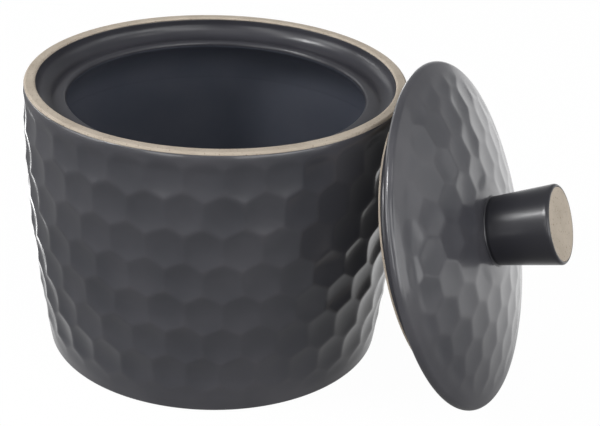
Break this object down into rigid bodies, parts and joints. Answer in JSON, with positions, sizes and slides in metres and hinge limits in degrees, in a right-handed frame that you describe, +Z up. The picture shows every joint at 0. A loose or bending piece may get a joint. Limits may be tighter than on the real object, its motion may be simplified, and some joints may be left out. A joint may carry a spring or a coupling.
{
  "type": "sugar bowl",
  "caption": "Round tapered stoneware sugar bowl with a gallery ledge inside its rim and a loose domed lid with a collar and a flared knob, leaning against the bowl.",
  "frame": {"origin": "on the bowl's axis at the plane of its foot, where it stands on the table", "axes": "+Z up along the bowl's axis; the viewer looks along +Y; the lid leans on the rim at +X and slightly towards the viewer, its knob pointing away from the bowl"},
  "size_m": [0.1635, 0.1372, 0.0983],
  "materials": {
    "dark_glaze": "satin",
    "bare_clay": "matte"
  },
  "bodies": {
    "bowl": {"bowl_body": "dark_glaze", "gallery_ring": "dark_glaze", "bowl_rim": "bare_clay", "foot_ring": "bare_clay"},
    "lid": {"lid_plate": "dark_glaze", "lid_collar": "dark_glaze", "collar_edge": "bare_clay", "lid_knob": "dark_glaze", "knob_face": "bare_clay"}
  },
  "joints": [
    {"name": "lid_lift", "type": "slide", "parent": "bowl", "child": "lid", "axis": [0, 0, 1], "range_m": [0, 0.12]}
  ]
}
